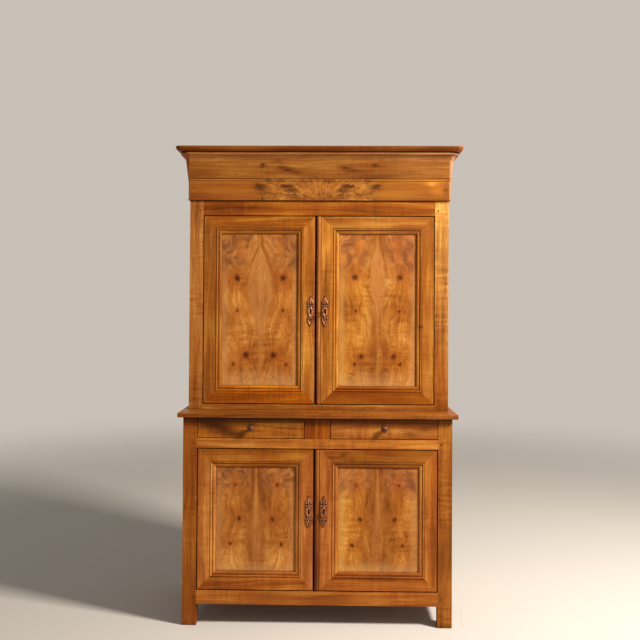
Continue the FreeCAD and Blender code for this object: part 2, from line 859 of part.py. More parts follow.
def knob():
    """A turned knob with a flat foot, a slim neck and a domed head."""
    half = knob_diameter / 2
    neck = knob_neck_diameter / 2
    foot = knob_foot_diameter / 2
    swell, waist = knob_foot_shares
    shares = [(radius * half, depth * knob_projection) for radius, depth in knob_head_shares]
    root, widest, shoulder, dome, tip = shares
    steps = [(foot, 0), ((foot * swell, knob_foot_height / 2), (foot * waist, knob_foot_height)),
             ((neck, (knob_foot_height + root[1]) / 2), root), (widest, shoulder), (dome, tip),
             (0, knob_projection), (0, 0)]
    place = lambda r, d: V(drawer_centre_x + r, lower_front - d, drawer_centre_z)
    turned = outline(place, (0, 0), steps)
    turned = turned.revolve(V(drawer_centre_x, lower_front, drawer_centre_z), V(0, 1, 0), 360)
    return turned.fuse(spindle()).removeSplitter()


def drawer_box():
    """Two sides, a back and a bottom behind the drawer front."""
    y1 = drawer_box_y + drawer_length
    z0 = drawer_z + slide_clearance
    z1 = drawer_front_top - drawer_side_drop
    inner0 = drawer_x0 + drawer_side_thickness
    inner1 = drawer_x1 - drawer_side_thickness
    sides = [box(drawer_x0, inner0, drawer_box_y, y1, z0, z1), box(inner1, drawer_x1, drawer_box_y, y1, z0, z1)]
    bottom_z = z0 + drawer_bottom_lift
    bottom_top = bottom_z + drawer_bottom_thickness
    bottom = box(inner0, inner1, drawer_box_y, y1, bottom_z, bottom_top)
    back = box(inner0, inner1, y1 - drawer_side_thickness, y1, bottom_top, z1)
    return sides + [bottom, back]


def drawers():
    front = box(drawer_x0, drawer_x1, lower_front, drawer_box_y, drawer_front_z, drawer_front_top)
    pieces = {"drawer_front": [front.cut(spindle())], "drawer_box": drawer_box(), "drawer_knob": [knob()]}
    for name, shapes in pieces.items():
        keep("right_" + name, *shapes)
        keep("left_" + name, *[mirrored(shape) for shape in shapes])


def runner(edge, outward, guide_y):
    """A runner under a drawer's edge with a guide that keeps the drawer straight."""
    y0 = lower_front + rail_thickness
    z0 = drawer_z - runner_thickness
    bed = box(edge - outward * runner_width, edge, y0, back_board_y, z0, drawer_z)
    guide = box(edge, edge + outward * guide_width, guide_y, back_board_y, z0, drawer_z + guide_height)
    return bed.fuse(guide).removeSplitter()


def drawer_runners():
    """Runners, the bearer behind them and the small blocks that stop the drawers."""
    outer = runner(lower.opening, 1, lower_front + post_depth)
    inner = runner(muntin_width / 2, -1, lower_front + rail_thickness)
    bearer_half = lower.half - rear_post
    bearer_top = drawer_z - runner_thickness
    bearer = box(-bearer_half, bearer_half, back_board_y - bearer_thickness, back_board_y,
                 bearer_top - bearer_height, bearer_top)
    stop_y = drawer_box_y + slide_clearance
    stop = box(drawer_centre_x - drawer_stop_width / 2, drawer_centre_x + drawer_stop_width / 2,
               stop_y, stop_y + drawer_stop_depth, drawer_z, drawer_z + drawer_stop_height)
    ledge = box(drawer_centre_x - drawer_stop_width, drawer_centre_x + drawer_stop_width,
                lower_front + rail_thickness, stop_y + drawer_stop_depth, drawer_z - runner_thickness, drawer_z)
    keep("drawer_runners", *both_sides([outer, inner, stop.fuse(ledge).removeSplitter()]), bearer)


def drawer_divider():
    """The wide upright between the drawers."""
    half = muntin_width / 2
    divider = box(-half, half, lower_front, lower_front + rail_thickness, drawer_z, counter_z)
    keep("drawer_divider", divider)


def build():
    front_rails()
    for case, bottom, rear_top in ((lower, 0, counter_z), (upper, upper_z, cornice_z)):
        front_posts(case, bottom, rear_top)
        rear_posts(case, bottom, rear_top)
        floor_board(case)
        left_door(case)
        right_door(case)
    side_frame(lower, foot_height, counter_z)
    side_frame(upper, upper_z, cornice_z)
    back_boards(lower, foot_height, counter_z)
    back_boards(upper, upper_z, cornice_z)
    shelves(upper, "upper_shelves", upper_shelf_shares)
    shelves(lower, "lower_shelf", lower_shelf_shares)
    counter_top()
    frieze()
    cornice_moulding()
    cornice_roof_board()
    drawer_divider()
    drawer_runners()
    drawers()


build()
os.makedirs("parts", exist_ok=True)
for node, solids in sorted(parts.items()):
    shape = solids[0] if len(solids) == 1 else Part.makeCompound(solids)
    shape.exportStep("parts/" + node + ".step")
    print(node, len(solids), "solids", "valid" if shape.isValid() else "NOT VALID")
print(len(parts), "nodes, height", total_height, "bolt travel per radian", bolt_throw / (2 * pi))
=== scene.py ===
"""The dressed look of the two-part buffet cupboard: waxed fruitwood, burl panels, aged brass and iron.
Metres, in the part's own frame: X right, Y back, Z up."""

import math
import bpy
import bmesh
from mathutils import Matrix, Vector
from mathutils.geometry import tessellate_polygon


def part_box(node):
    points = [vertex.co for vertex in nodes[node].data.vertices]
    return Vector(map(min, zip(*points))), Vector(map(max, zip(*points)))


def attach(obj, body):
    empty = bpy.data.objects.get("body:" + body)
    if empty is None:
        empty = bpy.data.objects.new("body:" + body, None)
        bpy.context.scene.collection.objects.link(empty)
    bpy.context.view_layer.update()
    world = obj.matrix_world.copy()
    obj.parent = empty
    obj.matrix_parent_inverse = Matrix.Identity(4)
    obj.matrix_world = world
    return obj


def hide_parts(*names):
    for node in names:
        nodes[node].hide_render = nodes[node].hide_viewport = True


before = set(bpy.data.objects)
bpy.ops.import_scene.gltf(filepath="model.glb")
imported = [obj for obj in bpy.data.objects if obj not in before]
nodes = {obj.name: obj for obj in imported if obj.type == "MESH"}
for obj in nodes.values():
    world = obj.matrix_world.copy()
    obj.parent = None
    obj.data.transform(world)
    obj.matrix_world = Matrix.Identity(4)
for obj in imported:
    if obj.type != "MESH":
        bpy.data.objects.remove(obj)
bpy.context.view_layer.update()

# The camera, in metres and degrees, as worked out from the photograph's edges. Its lens is a little wider and
# its frame a little lower than the photograph's, which cuts the feet off.
camera_place = (0.0706, -3.781, 1.492)
camera_turn = 1.002
camera_tilt = 0.673
camera_roll = 0.327
camera_lens = 42.1
camera_shift_y = -0.031
sensor_width = 36.0

# Light, floor and backdrop
sky_strength = 0.31
sky_colour = (1.0, 0.97, 0.93)
key_place = (3.3, -1.75, 3.6)
key_target = (0.1, -0.2, 1.3)
key_power = 410.0
key_size = 0.7
key_colour = (1.0, 0.96, 0.9)
backdrop = (0.58, 0.53, 0.47)
floor_colour = (0.60, 0.55, 0.49)
floor_roughness = 0.9
floor_gloss = 0.1
floor_half = 40.0
floor_fade = (2.5, 7.0)


def srgb(red, green, blue):
    """A colour as the eye reads it, 0 to 255, in the shader's own numbers."""
    shares = [value / 255 for value in (red, green, blue)]
    return tuple(s / 12.92 if s <= 0.04045 else ((s + 0.055) / 1.055) ** 2.4 for s in shares)


def toned(colour, tone):
    return tuple(value * share for value, share in zip(colour, tone))


# Tones: the shares of red, green and blue that a wood's colours are multiplied by
plain = (1.0, 1.0, 1.0)
honey = (1.06, 1.14, 0.95)
amber = (0.92, 0.9, 0.7)
reddish = (0.84, 0.74, 0.5)
deep = (0.66, 0.53, 0.34)

# Shades of each material, from the dark lines to the light ones: a place from 0 to 1, and a colour
fruitwood_shades = ((0.12, (112, 52, 14)), (0.5, (168, 92, 33)), (0.88, (210, 138, 64)))
burl_shades = ((0.06, (104, 50, 14)), (0.38, (164, 90, 28)), (0.64, (194, 118, 44)), (0.95, (228, 160, 78)))
flame_shades = ((0.3, (178, 112, 52)), (0.7, (206, 142, 76)))
swirl_shades = ((0.32, (112, 64, 32)), (0.5, (154, 94, 48)), (0.68, (198, 124, 58)))
frieze_shades = ((0.1, (118, 56, 12)), (0.5, (152, 80, 22)), (0.9, (186, 112, 38)))
frieze_burl_shades = ((0.08, (82, 40, 14)), (0.36, (138, 78, 27)), (0.62, (166, 102, 38)),
                      (0.95, (194, 132, 60)))
bare_shades = ((0.1, (104, 72, 44)), (0.5, (150, 112, 72)), (0.9, (188, 150, 104)))
turned_shades = ((0.1, (38, 13, 5)), (0.5, (76, 31, 13)), (0.9, (122, 60, 28)))
iron_shades = ((0.15, (12, 9, 8)), (0.5, (28, 22, 19)), (0.85, (56, 48, 42)))
brass_shades = ((0.15, (116, 58, 24)), (0.5, (198, 119, 64)), (0.85, (236, 172, 112)))
# The escutcheon's ground: dark old patina, with painted shadow in place of the openwork between its scrolls
patina_and_shadow_shades = ((0.15, (26, 8, 2)), (0.5, (52, 18, 6)), (0.85, (92, 40, 15)))

# Single colours in the wood, and the tone of the panels' joint line
# The dark of old wax in pores, also laid in corners and gaps as painted shade
dirt_and_shade_brown = srgb(38, 13, 4)
knot_brown = srgb(74, 32, 8)
halo_brown = srgb(158, 80, 22)
blotch_brown = srgb(82, 42, 16)
flame_rim_brown = srgb(132, 68, 26)
corner_orange = srgb(192, 108, 38)
# Painted sheen on the foot and side edges of each panel
panel_foot_sheen = srgb(216, 154, 92)
panel_side_sheen = srgb(208, 143, 80)
panel_joint_tone = (1.24, 1.26, 1.34)

# The height of a panel's short dark streak, in metres
streak_height = 0.0035

# Wax: its sheen and gloss, how dark old wax and dust with painted shade make corners and gaps, and how far
# out that reaches, in metres
wax_sheen = (1.0, 0.86, 0.66)
wax_gloss = 0.17
full_dirt_and_shade = 0.95
dirt_and_shade_reach = 0.008
shade_strength = 0.5
shade_reach = 0.035


# Shader building

class Finish:
    """A material's node tree with short calls for the nodes that the finishes use."""

    def __init__(self, name):
        self.material = bpy.data.materials.new(name)
        self.material.use_nodes = True
        self.tree = self.material.node_tree
        self.tree.nodes.clear()
        self.output = self.add("ShaderNodeOutputMaterial")
        self.shader = self.add("ShaderNodeBsdfPrincipled")
        self.tree.links.new(self.shader.outputs[0], self.output.inputs[0])
        self.coords = self.add("ShaderNodeTexCoord").outputs["Object"]

    def add(self, kind, **settings):
        node = self.tree.nodes.new(kind)
        for key, value in settings.items():
            setattr(node, key, value)
        return node

    def feed(self, socket, value):
        """Links a socket to another, or sets it to a number or colour."""
        if isinstance(value, bpy.types.NodeSocket):
            self.tree.links.new(value, socket)
        elif isinstance(value, (tuple, list)) and socket.type == "RGBA" and len(value) == 3:
            socket.default_value = (*value, 1.0)
        else:
            socket.default_value = value

    def math(self, operation, a, b=0.0, c=0.0):
        node = self.add("ShaderNodeMath", operation=operation)
        for socket, value in zip(node.inputs, (a, b, c)):
            self.feed(socket, value)
        return node.outputs[0]

    def total(self, start, *terms):
        """A start value plus each term times its weight, with noises centred on one half."""
        result = start
        for value, weight in terms:
            result = self.math("MULTIPLY_ADD", self.math("SUBTRACT", value, 0.5), weight, result)
        return result

    def vector(self, operation, a, b=(0.0, 0.0, 0.0)):
        node = self.add("ShaderNodeVectorMath", operation=operation)
        self.feed(node.inputs[0], a)
        self.feed(node.inputs[1], b)
        return node.outputs[0]

    def split(self, vector):
        node = self.add("ShaderNodeSeparateXYZ")
        self.feed(node.inputs[0], vector)
        return node.outputs

    def join(self, x, y, z):
        node = self.add("ShaderNodeCombineXYZ")
        for socket, value in zip(node.inputs, (x, y, z)):
            self.feed(socket, value)
        return node.outputs[0]

    def noise(self, vector, detail=3.0, roughness=0.55, distortion=0.0):
        node = self.add("ShaderNodeTexNoise")
        self.feed(node.inputs["Vector"], vector)
        node.inputs["Scale"].default_value = 1.0
        node.inputs["Detail"].default_value = detail
        node.inputs["Roughness"].default_value = roughness
        node.inputs["Distortion"].default_value = distortion
        return node.outputs["Fac"]

    def grainy(self, place, across, along, detail=3.0, roughness=0.55, distortion=0.0):
        """Noise with so many changes per metre across and along the grain."""
        stretched = self.vector("MULTIPLY", place, (across, across, along))
        return self.noise(stretched, detail, roughness, distortion)

    def ramp(self, fac, stops):
        """Runs from stop to stop; each is a place and a number or colour."""
        node = self.add("ShaderNodeValToRGB")
        band = node.color_ramp
        band.interpolation = "LINEAR"
        while len(band.elements) < len(stops):
            band.elements.new(0.5)
        for element, (place, colour) in zip(band.elements, stops):
            element.position = place
            value = colour if isinstance(colour, tuple) else (colour, colour, colour)
            element.color = (*value, 1.0)
        self.feed(node.inputs[0], fac)
        return node.outputs[0]

    def shades(self, fac, stops, tone=plain):
        """A ramp through colours given from 0 to 255, each times the tone."""
        return self.ramp(fac, [(place, toned(srgb(*colour), tone)) for place, colour in stops])

    def mix(self, fac, a, b, blend="MIX"):
        node = self.add("ShaderNodeMix", data_type="RGBA", blend_type=blend)
        self.feed(node.inputs[0], fac)
        self.feed(node.inputs[6], a)
        self.feed(node.inputs[7], b)
        return node.outputs[2]

    def stain(self, colour, shade, where, strength):
        """Lays a shade over the colour where the third value says so, up to the strength."""
        return self.mix(self.math("MULTIPLY", where, strength), colour, shade)

    def remap(self, value, low, high, new_low=0.0, new_high=1.0):
        """Moves a value from one range to another, eased at both ends."""
        node = self.add("ShaderNodeMapRange", interpolation_type="SMOOTHSTEP")
        for socket, item in zip(node.inputs, (value, low, high, new_low, new_high)):
            self.feed(socket, item)
        return node.outputs[0]

    def remap_plain(self, value, low, high):
        """The share of the way from low to high."""
        return self.math("DIVIDE", self.math("SUBTRACT", value, low), high - low)

    def oriented(self, along, seed):
        """The place in the wood, with its third number along the grain."""
        x, y, z = self.split(self.coords)
        across = {"X": (z, y, x), "Y": (x, z, y), "Z": (x, y, z)}[along]
        return self.vector("ADD", self.join(*across), (seed * 0.371, seed * 0.137, seed * 0.793))

    def spot(self, u, w, place, size):
        """One in the middle of an oval spot, falling to nothing outside it."""
        du = self.math("DIVIDE", self.math("SUBTRACT", u, place[0]), size[0])
        dw = self.math("DIVIDE", self.math("SUBTRACT", w, place[1]), size[1])
        square = self.math("MULTIPLY_ADD", du, du, self.math("MULTIPLY", dw, dw))
        return self.math("EXPONENT", self.math("MULTIPLY", square, -1.0))

    def closed(self, reach, samples):
        """How shut in a point is: nothing in the open, about a half in a square corner."""
        node = self.add("ShaderNodeAmbientOcclusion", samples=samples)
        node.inputs["Distance"].default_value = reach
        return self.math("SUBTRACT", 1.0, node.outputs["AO"])

    def dirt_and_painted_shade(self, colour, amount, reach=dirt_and_shade_reach, shade=shade_strength):
        """Old wax and dust with painted shade: a dark line in corners and gaps, and a soft painted shade
        round them.
        """
        if shade:
            soft = self.remap(self.closed(shade_reach, 3), 0.12, 0.7, 0.0, shade)
            colour = self.mix(soft, colour, dirt_and_shade_brown)
        line = self.remap(self.closed(reach, 6), 0.16, 0.58, 0.0, amount)
        return self.mix(line, colour, dirt_and_shade_brown)

    def bump(self, height, distance):
        node = self.add("ShaderNodeBump")
        node.inputs["Strength"].default_value = 1.0
        node.inputs["Distance"].default_value = distance
        self.feed(node.inputs["Height"], height)
        self.feed(self.shader.inputs["Normal"], node.outputs[0])

    def close(self, colour, roughness):
        self.feed(self.shader.inputs["Base Color"], colour)
        self.feed(self.shader.inputs["Roughness"], roughness)
        return self.material


def wood_surface(t, p, colour, fibres, pores, lines, wear=full_dirt_and_shade):
    """The waxed face that all the show wood shares: pores, corners darkened by old wax and painted shade,
    soft gloss and fine relief.
    """
    colour = t.stain(colour, dirt_and_shade_brown, pores, 0.35)
    colour = t.dirt_and_painted_shade(colour, wear)
    smear = t.grainy(p, 9, 5, 3)
    roughness = t.total(0.42, (smear, 0.18), (lines, 0.12))
    t.shader.inputs["Specular IOR Level"].default_value = wax_gloss
    t.shader.inputs["Specular Tint"].default_value = (*wax_sheen, 1.0)
    planing = t.grainy(p, 16, 5, 1)
    height = t.total(0.5, (fibres, 0.3), (lines, 0.35), (planing, 2.2))
    height = t.math("MULTIPLY_ADD", pores, -0.35, height)
    t.bump(height, 0.0005)
    return t.close(colour, roughness)


def fine_grain(t, p):
    """Fibres, pores and thin lines of the wood."""
    lines = t.grainy(p, 150, 6, 4, 0.6)
    fibres = t.grainy(p, 800, 26, 2)
    pores = t.remap(t.grainy(p, 1000, 40, 0), 0.64, 0.72)
    return lines, fibres, pores


def washed(t, colour, cloud, washes):
    """Tones that come in along an axis. Each is the axis, where it starts, where it is full, and the tone."""
    for axis, start, full, tone in washes:
        place = t.split(t.coords)["XYZ".index(axis)]
        place = t.total(place, (cloud, (full - start) * 0.5))
        colour = t.mix(t.remap(place, start, full), colour, tone, "MULTIPLY")
    return colour


def fruitwood(name, along, tone, seed, curl, marks=(), washes=(), life=1.0, wear=full_dirt_and_shade):
    """Waxed straight-grained wood. The curl is how strongly it ripples across the grain, and the life how
    strongly its shade wanders. A mark is a dark spot: its place in X and Z, its size and its strength."""
    t = Finish(name)
    p = t.oriented(along, seed)
    sway = t.grainy(p, 5, 1.3, 2)
    p = t.vector("ADD", p, t.join(t.total(0.0, (sway, 0.06)), 0.0, 0.0))
    bands = t.grainy(p, 26, 1.3, 3, 0.5, 0.3)
    lines, fibres, pores = fine_grain(t, p)
    cloud = t.grainy(p, 6, 3, 3)
    ripple = t.grainy(p, 9, 80, 1, 0.4, 0.5)
    patch = t.remap(t.grainy(p, 5, 4, 1), 0.36, 0.62)
    ripple = t.math("MULTIPLY_ADD", t.math("SUBTRACT", ripple, 0.5), patch, 0.5)
    value = t.total(0.5, (bands, 1.1 * life), (lines, 0.7), (fibres, 0.3), (cloud, 0.8 * life),
                    (ripple, curl * 1.3))
    colour = t.shades(value, fruitwood_shades, tone)
    colour = washed(t, colour, cloud, washes)
    if marks:
        x, _, z = t.split(t.coords)
        rough = t.total(0.0, (t.grainy(p, 90, 40, 2), 0.02))
        u = t.math("ADD", x, rough)
        w = t.math("ADD", z, rough)
        for place_x, place_z, size_x, size_z, strength in marks:
            dark = t.spot(u, w, (place_x, place_z), (size_x, size_z))
            colour = t.stain(colour, knot_brown, dark, strength)
    return wood_surface(t, p, colour, fibres, pores, lines, wear)


def burl_panel(name, centre, low, high, knots, lens, streaks, tone, right_tone, flame, seed):
    """A bookmatched panel: the figure is mirrored about its centre line, with a light flame up the middle.
    A knot is its distance from the centre line, its height, its radius and its strength. The lens is the
    half width of the flame, in tenths of a metre, at shares of the panel's height. A streak is a short
    slanting mark: its place in X and Z, its length, its slope and its strength. Tone colours the whole
    panel, and right_tone its right edge. The flame is how strongly it shows, its tone, and the tone of the
    wood round it."""
    t = Finish(name)
    x, _, z = t.split(t.coords)
    off = t.math("SUBTRACT", x, centre)
    u = t.math("ABSOLUTE", off)
    side = t.math("MULTIPLY", t.math("SIGN", off), 0.012)
    mirror = t.join(u, t.math("ADD", side, seed * 0.371), z)
    wander = t.noise(t.vector("MULTIPLY", mirror, (9, 4, 7)), 3)
    height = t.remap_plain(z, low, high)
    half = t.ramp(height, lens)
    half = t.math("MULTIPLY", half, 0.1)
    flow = t.math("MULTIPLY_ADD", half, -0.9, u)
    swirl = 0.0
    for place_u, place_z, radius, strength in knots:
        near = t.spot(u, z, (place_u, place_z), (radius * 3.6, radius * 6.5))
        pull = t.math("MULTIPLY", t.math("SUBTRACT", u, place_u), near)
        flow = t.math("MULTIPLY_ADD", pull, 1.6 * strength, flow)
        swirl = t.math("MULTIPLY_ADD", near, strength, swirl)
    flow = t.total(flow, (wander, 0.07))
    lines_place = t.join(flow, t.math("ADD", side, seed), t.math("MULTIPLY", z, 0.12))
    broad = t.noise(t.vector("MULTIPLY", lines_place, (34, 20, 22)), 3, 0.55, 0.5)
    thin = t.noise(t.vector("MULTIPLY", lines_place, (150, 40, 60)), 4, 0.6, 0.3)
    mottle = t.noise(t.vector("MULTIPLY", mirror, (42, 20, 30)), 4, 0.6, 1.2)
    cloud = t.noise(t.vector("MULTIPLY", mirror, (8, 8, 5)), 2)
    ripple = t.noise(t.vector("MULTIPLY", mirror, (12, 8, 60)), 2, 0.5, 0.3)
    patch = t.remap(t.noise(t.vector("MULTIPLY", mirror, (11, 5, 7)), 1), 0.42, 0.6)
    ripple = t.math("MULTIPLY_ADD", t.math("SUBTRACT", ripple, 0.5), patch, 0.5)
    speckle = t.noise(t.vector("MULTIPLY", mirror, (140, 40, 110)), 3, 0.65, 0.8)
    value = t.total(0.5, (broad, 0.9), (thin, 0.5), (mottle, 0.6), (speckle, 0.3), (cloud, 1.05),
                    (ripple, 0.8))
    colour = t.shades(value, burl_shades, tone)
    # The light flame up the middle, and painted sheen: the pale foot and side edges of the panel
    edge = t.math("ADD", half, 0.002)
    soft = t.math("ADD", u, t.total(0.0, (thin, 0.01), (mottle, 0.008)))
    strength, flame_tone, middle_tone = flame
    colour = t.mix(t.remap(soft, 0.1, 0.02), colour, middle_tone, "MULTIPLY")
    inside = t.remap(t.math("SUBTRACT", soft, edge), 0.009, -0.011)
    inside = t.math("MULTIPLY", inside, t.remap(height, 0.1, 0.6, 0.35 * strength, strength))
    heart = t.shades(t.total(thin, (cloud, 0.5)), flame_shades, flame_tone)
    colour = t.mix(inside, colour, heart)
    rim = t.math("ABSOLUTE", t.math("SUBTRACT", t.math("SUBTRACT", soft, edge), 0.006))
    rim = t.math("MULTIPLY", t.remap(rim, 0.012, 0.0), t.remap(height, 0.6, 0.85, 0.0, 0.5))
    colour = t.mix(rim, colour, flame_rim_brown)
    joint = t.remap(t.total(u, (wander, 0.003)), 0.0045, 0.001, 0.0, 0.55)
    colour = t.mix(joint, colour, panel_joint_tone, "MULTIPLY")
    foot = t.remap(t.total(height, (cloud, 0.2)), 0.13, 0.0, 0.0, 0.45)
    colour = t.mix(foot, colour, toned(panel_foot_sheen, tone))
    side_sheen = t.remap(t.total(u, (cloud, 0.03)), 0.145, 0.168, 0.0, 0.4)
    colour = t.mix(side_sheen, colour, toned(panel_side_sheen, tone))
    # Brown swirls in both top corners
    top = t.remap(t.total(height, (cloud, 0.25)), 0.68, 0.82)
    outside = t.remap(t.math("SUBTRACT", soft, edge), 0.004, 0.05)
    curls = t.noise(t.vector("MULTIPLY", mirror, (15, 8, 12)), 3, 0.55, 2.2)
    brown = t.shades(curls, swirl_shades)
    colour = t.stain(colour, brown, t.math("MULTIPLY", top, outside), 0.86)
    orange = t.spot(t.total(u, (curls, 0.08)), z, (0.088, high - 0.075), (0.02, 0.07))
    colour = t.stain(colour, corner_orange, orange, 0.5)
    colour = t.mix(t.remap(off, -0.16, 0.16), colour, right_tone, "MULTIPLY")
    # Knots, each with a warm halo and a ragged dark heart
    ragged = t.total(0.0, (t.noise(t.vector("MULTIPLY", t.coords, (110, 60, 110)), 3), 0.024))
    ku = t.math("ADD", u, ragged)
    kw = t.math("ADD", z, ragged)
    for place_u, place_z, radius, strength in knots:
        halo = t.spot(ku, kw, (place_u, place_z), (radius * 3.0, radius * 3.4))
        colour = t.stain(colour, halo_brown, halo, 0.7 * strength)
        heart = t.remap(t.spot(ku, kw, (place_u, place_z), (radius * 1.05, radius * 1.15)), 0.0, 0.95)
        colour = t.stain(colour, knot_brown, heart, strength)
    for place_x, place_z, length, slope, strength in streaks:
        dx = t.math("SUBTRACT", x, place_x)
        lean = t.math("MULTIPLY_ADD", dx, -slope, kw)
        mark = t.spot(x, lean, (place_x, place_z), (length, streak_height))
        colour = t.stain(colour, knot_brown, mark, strength)
    p = t.oriented("Z", seed)
    _, fibres, pores = fine_grain(t, p)
    return wood_surface(t, p, colour, fibres, pores, thin)


# Dark blotches of the frieze's figure: distance from its centre, height above its foot, size, strength
frieze_blotches = ((0.288, 0.066, 0.022, 0.013, 0.95), (0.15, 0.07, 0.034, 0.009, 1.0),
                   (0.125, 0.05, 0.03, 0.01, 0.8), (0.19, 0.03, 0.03, 0.004, 0.6),
                   (0.115, 0.028, 0.035, 0.005, 0.8), (0.07, 0.015, 0.02, 0.004, 0.7),
                   (0.265, 0.04, 0.012, 0.02, 0.4))
# Light and dark spots near the frieze's right end: place along it and above its foot, size, strength, colour
frieze_spots = ((0.548, 0.085, 0.026, 0.012, 0.6, (222, 148, 54)),
                (0.572, 0.045, 0.03, 0.02, 0.4, (206, 122, 30)),
                (0.62, 0.05, 0.014, 0.06, 0.45, (118, 58, 12)),
                (0.612, 0.054, 0.013, 0.007, 0.9, (96, 46, 14)))
frieze_centre = -0.007
# Painted shade towards the frieze's left end and painted light towards its right end, on the lamp's side
frieze_painted_light_and_shade = (("X", -0.12, -0.34, (0.85, 0.86, 0.9)), ("X", 0.14, 0.36, (0.97, 1.19, 1.2)))


def burl_frieze(name, centre, low):
    """The frieze: plain wood at its ends and a mirrored fan of dark streaks in the middle."""
    t = Finish(name)
    x, _, z = t.split(t.coords)
    off = t.math("SUBTRACT", x, centre)
    u = t.math("ABSOLUTE", off)
    side = t.math("MULTIPLY", t.math("SIGN", off), 0.015)
    w = t.math("SUBTRACT", z, low)
    mirror = t.join(u, side, z)
    p = t.oriented("X", 3)
    lines, fibres, pores = fine_grain(t, p)
    cloud = t.grainy(p, 9, 3, 3)
    bands = t.grainy(p, 40, 2, 3, 0.5, 0.4)
    value = t.total(0.5, (bands, 0.9), (lines, 0.4), (cloud, 1.0))
    colour = t.shades(value, frieze_shades)
    wander = t.noise(t.vector("MULTIPLY", mirror, (14, 10, 22)), 3, 0.6)
    bent = t.total(u, (wander, 0.05))
    angle = t.math("ARCTAN2", t.math("ADD", w, 0.004), bent)
    reach = t.math("SQRT", t.math("MULTIPLY_ADD", u, u, t.math("MULTIPLY", w, w)))
    fan = t.join(t.math("MULTIPLY", angle, 14.0), side, t.math("MULTIPLY", reach, 16.0))
    streak = t.noise(fan, 4, 0.65, 0.8)
    eyes = t.noise(t.vector("MULTIPLY", mirror, (80, 14, 100)), 3, 0.65, 1.5)
    figure = t.total(0.48, (streak, 1.7), (eyes, 1.2), (wander, 0.9), (cloud, 0.5))
    burl = t.shades(figure, frieze_burl_shades)
    ragged = t.total(u, (wander, 0.12), (eyes, 0.07))
    inside = t.remap(ragged, 0.31, 0.25)
    colour = t.mix(inside, colour, burl)
    colour = washed(t, colour, cloud, frieze_painted_light_and_shade)
    spot_x = t.total(x, (eyes, 0.05))
    spot_w = t.total(w, (eyes, 0.03))
    for place_x, place_w, size_x, size_w, strength, shade in frieze_spots:
        spot = t.spot(spot_x, spot_w, (place_x, place_w), (size_x, size_w))
        colour = t.stain(colour, srgb(*shade), spot, strength)
    blotch_u = t.total(u, (eyes, 0.09))
    blotch_w = t.total(w, (streak, 0.04), (eyes, 0.03))
    for place_u, place_w, size_u, size_w, strength in frieze_blotches:
        dark = t.remap(t.spot(blotch_u, blotch_w, (place_u, place_w), (size_u, size_w)), 0.0, 0.75)
        colour = t.stain(colour, blotch_brown, dark, strength)
    return wood_surface(t, p, colour, fibres, pores, lines)


def bare_wood(name, along, seed, board_pitch=0.0, board_start=0.0):
    """Unpolished secondary wood, greyed and dusty. With a pitch, each board has its own shade."""
    t = Finish(name)
    p = t.oriented(along, seed)
    shade = 0.5
    if board_pitch:
        x = t.split(t.coords)[0]
        number = t.math("FLOOR", t.math("DIVIDE", t.math("SUBTRACT", x, board_start), board_pitch))
        shift = t.join(0.0, t.math("MULTIPLY", number, 0.83), t.math("MULTIPLY", number, 1.9))
        p = t.vector("ADD", p, shift)
        node = t.add("ShaderNodeTexWhiteNoise", noise_dimensions="1D")
        t.feed(node.inputs["W"], number)
        shade = node.outputs["Value"]
    rings = t.grainy(p, 30, 0.9, 3, 0.5, 0.6)
    lines, fibres, pores = fine_grain(t, p)
    stain = t.grainy(p, 5, 3, 4)
    value = t.total(0.5, (rings, 1.2), (lines, 0.5), (fibres, 0.4), (stain, 0.6), (shade, 0.3))
    colour = t.shades(value, bare_shades)
    colour = t.stain(colour, dirt_and_shade_brown, pores, 0.4)
    # Dust and old wax in corners and gaps, with a soft painted shade round them
    colour = t.dirt_and_painted_shade(colour, 0.8, 0.012, 0.3)
    height = t.total(0.5, (fibres, 0.5), (lines, 0.6), (rings, 0.5))
    t.bump(height, 0.0007)
    return t.close(colour, t.total(0.68, (stain, 0.15)))


def turned_wood(name):
    """Dark polished wood turned round the Y axis."""
    t = Finish(name)
    p = t.oriented("Y", 5)
    lines, fibres, _ = fine_grain(t, p)
    cloud = t.grainy(p, 60, 30, 3)
    value = t.total(0.5, (lines, 0.8), (cloud, 0.9))
    colour = t.shades(value, turned_shades)
    colour = t.dirt_and_painted_shade(colour, 0.8, 0.005, 0.0)
    t.bump(t.total(0.5, (lines, 0.5), (fibres, 0.3)), 0.0003)
    return t.close(colour, t.total(0.32, (cloud, 0.12)))


def metal(name, shades, roughness, metallic, seed):
    """Old metal with a mottled patina and a fine cast or hammered face."""
    t = Finish(name)
    p = t.vector("ADD", t.coords, (seed * 0.37, seed * 0.13, seed * 0.71))
    blotch = t.grainy(p, 60, 60, 4, 0.6, 0.4)
    grit = t.grainy(p, 600, 600, 3, 0.6)
    value = t.total(0.5, (blotch, 1.4), (grit, 0.5))
    colour = t.shades(value, shades)
    colour = t.dirt_and_painted_shade(colour, 0.92, 0.005, 0.0)
    t.shader.inputs["Metallic"].default_value = metallic
    t.bump(t.total(0.5, (grit, 0.6), (blotch, 0.8)), 0.0003)
    return t.close(colour, t.total(roughness, (blotch, 0.25), (grit, 0.1)))


# Putting finishes on the frame's pieces

def dress(node, finish):
    mesh = nodes[node].data
    mesh.materials.clear()
    mesh.materials.append(finish)


def dress_by(node, finishes, pick):
    """Gives each face one of several finishes; pick tells which from the face's middle."""
    mesh = nodes[node].data
    mesh.materials.clear()
    for finish in finishes:
        mesh.materials.append(finish)
    for face in mesh.polygons:
        face.material_index = pick(face.center)


def door_member(node):
    """Tells left stile, right stile, top rail and bottom rail apart by the mitres."""
    low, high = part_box(node)

    def pick(place):
        gaps = (place.x - low[0], high[0] - place.x, high[2] - place.z, place.z - low[2])
        return gaps.index(min(gaps))
    return pick


